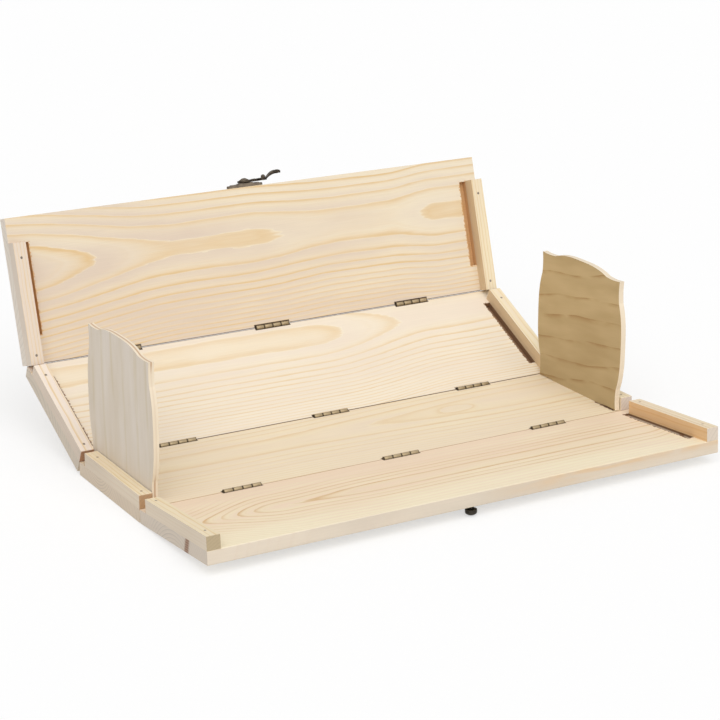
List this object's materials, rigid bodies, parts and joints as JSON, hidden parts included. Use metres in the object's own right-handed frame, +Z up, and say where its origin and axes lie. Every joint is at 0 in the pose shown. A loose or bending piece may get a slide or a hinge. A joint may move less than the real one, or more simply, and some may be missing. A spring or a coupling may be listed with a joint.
{
  "type": "folding wine box",
  "caption": "Fold-flat wooden bottle box: hinged boards with end cleats fold round shaped plywood end plates and lock with a swing hook and knob.",
  "frame": {"origin": "middle of the bottom board's underside, on the surface the box stands on", "axes": "+X along the boards, -Y towards the front board, +Z up"},
  "size_m": [0.35, 0.2947, 0.1453],
  "materials": {
    "pine_board": "planed and unfinished pine with flat-sawn grain",
    "pine_cleat": "planed and unfinished pine strip, straight grain",
    "plywood": "thin three-ply plywood, sanded, sawn edges",
    "antique_brass": "stamped brass, antique finish",
    "dark_bronze": "cast brass, dark bronze finish rubbed bright on high spots",
    "steel_pins": "plain steel nails and panel pins"
  },
  "bodies": {
    "bottom": {"bottom_board": "pine_board", "bottom_cleat_left": "pine_cleat", "bottom_cleat_right": "pine_cleat", "bottom_cleat_pins": "steel_pins", "end_plate_left": "plywood", "end_plate_right": "plywood", "front_hinge_1_bottom_leaf": "antique_brass", "front_hinge_1_pin": "antique_brass", "front_hinge_2_bottom_leaf": "antique_brass", "front_hinge_2_pin": "antique_brass", "front_hinge_3_bottom_leaf": "antique_brass", "front_hinge_3_pin": "antique_brass", "back_hinge_1_bottom_leaf": "antique_brass", "back_hinge_1_pin": "antique_brass", "back_hinge_2_bottom_leaf": "antique_brass", "back_hinge_2_pin": "antique_brass", "back_hinge_3_bottom_leaf": "antique_brass", "back_hinge_3_pin": "antique_brass", "front_hinge_bottom_nails": "steel_pins", "back_hinge_bottom_nails": "steel_pins"},
    "front": {"front_board": "pine_board", "front_cleat_left": "pine_cleat", "front_cleat_right": "pine_cleat", "front_cleat_pins": "steel_pins", "front_hinge_1_front_leaf": "antique_brass", "front_hinge_2_front_leaf": "antique_brass", "front_hinge_3_front_leaf": "antique_brass", "front_hinge_front_nails": "steel_pins", "catch_knob": "dark_bronze"},
    "back": {"back_board": "pine_board", "back_cleat_left": "pine_cleat", "back_cleat_right": "pine_cleat", "back_cleat_pins": "steel_pins", "back_hinge_1_back_leaf": "antique_brass", "back_hinge_2_back_leaf": "antique_brass", "back_hinge_3_back_leaf": "antique_brass", "lid_hinge_1_back_leaf": "antique_brass", "lid_hinge_1_pin": "antique_brass", "lid_hinge_2_back_leaf": "antique_brass", "lid_hinge_2_pin": "antique_brass", "lid_hinge_3_back_leaf": "antique_brass", "lid_hinge_3_pin": "antique_brass", "back_hinge_back_nails": "steel_pins", "lid_hinge_back_nails": "steel_pins"},
    "lid": {"lid_board": "pine_board", "lid_cleat_left": "pine_cleat", "lid_cleat_right": "pine_cleat", "lid_cleat_pins": "steel_pins", "lid_hinge_1_lid_leaf": "antique_brass", "lid_hinge_2_lid_leaf": "antique_brass", "lid_hinge_3_lid_leaf": "antique_brass", "lid_hinge_lid_nails": "steel_pins", "clasp_base": "dark_bronze", "clasp_base_nails": "steel_pins", "clasp_rivet": "dark_bronze"},
    "hook": {"clasp_hook": "dark_bronze"}
  },
  "joints": [
    {"name": "front_hinge", "type": "hinge", "parent": "bottom", "child": "front", "pos_m": [0, -0.0442, 0.00855], "axis": [-1, 0, 0], "range_deg": [-4.34, 85.62]},
    {"name": "back_hinge", "type": "hinge", "parent": "bottom", "child": "back", "pos_m": [0, 0.0442, 0.00855], "axis": [1, 0, 0], "range_deg": [-25.3, 64.7]},
    {"name": "lid_hinge", "type": "hinge", "parent": "back", "child": "lid", "pos_m": [0, 0.12466, 0.04659], "axis": [1, 0, 0], "range_deg": [-48, 42]},
    {"name": "hook_pivot", "type": "hinge", "parent": "lid", "child": "hook", "pos_m": [-0.003, 0.15594, 0.1357], "axis": [0, -0.2874, -0.9578], "range_deg": [-180, 90]}
  ]
}
